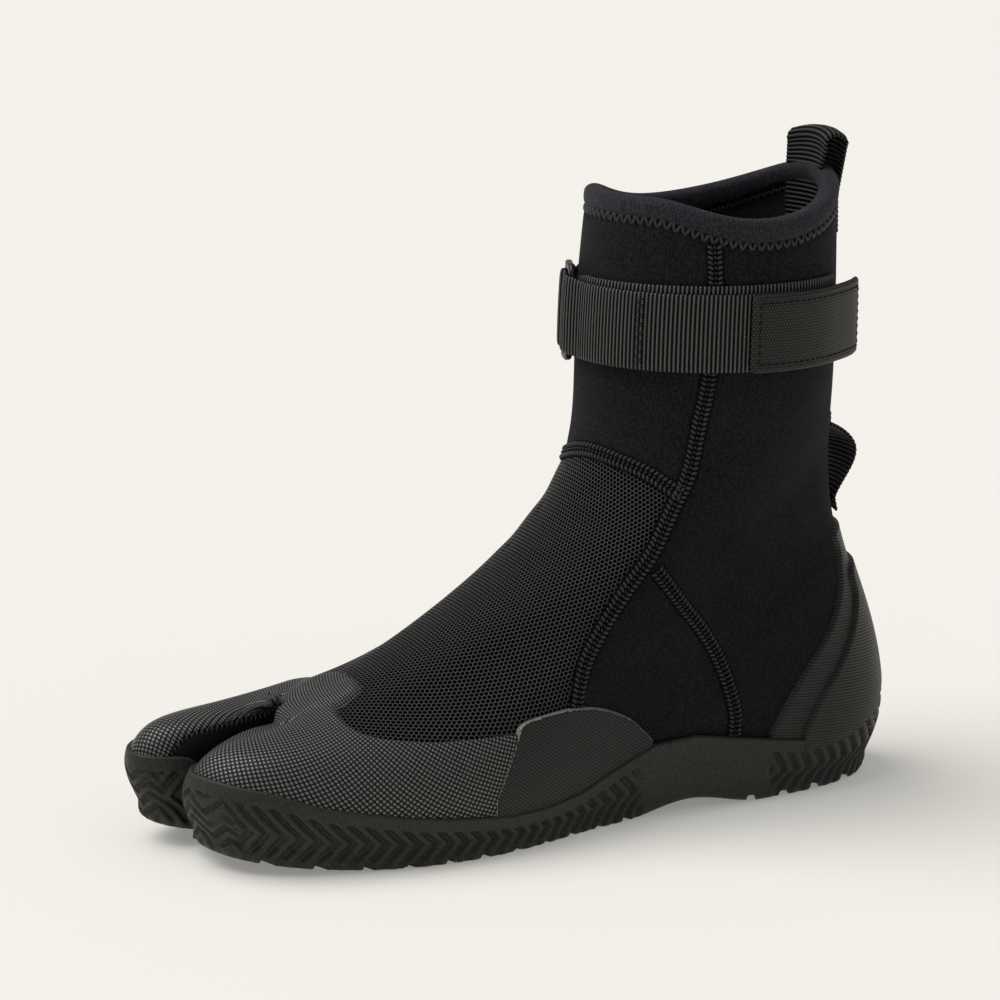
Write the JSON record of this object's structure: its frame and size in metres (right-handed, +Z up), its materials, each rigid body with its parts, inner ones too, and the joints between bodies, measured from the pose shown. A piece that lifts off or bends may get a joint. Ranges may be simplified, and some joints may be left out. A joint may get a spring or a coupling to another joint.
{
  "type": "split-toe wetsuit boot",
  "caption": "Left ankle-high neoprene wetsuit boot with a split toe, moulded rubber cup sole, rubber overlays, an ankle strap with a ring and tab, and pull loops.",
  "frame": {"origin": "bottom centre of the boot's bounding box, on the floor", "axes": "+Z up, the toes towards -Y, the heel towards +Y, the outer side of the left foot towards +X"},
  "size_m": [0.1032, 0.2948, 0.2455],
  "materials": {
    "neoprene": "matt jersey-faced foam",
    "sole_rubber": "matt moulded",
    "overlay_rubber": "fine moulded texture",
    "webbing": "woven",
    "ring_plastic": "satin moulded",
    "tab_rubber": "fine dotted texture",
    "insole_foam": "matt cloth-faced foam"
  },
  "bodies": {
    "root": {"outsole": "sole_rubber", "upper": "neoprene", "insole": "insole_foam", "toe_cap": "overlay_rubber", "side_guard_lateral": "overlay_rubber", "side_guard_medial": "overlay_rubber", "heel_counter": "overlay_rubber", "heel_counter_ridge": "overlay_rubber", "ankle_strap": "webbing", "strap_ring": "ring_plastic", "strap_anchor": "webbing", "strap_tab": "tab_rubber", "collar_pull_loop": "webbing", "heel_pull_loop": "webbing"}
  },
  "joints": []
}
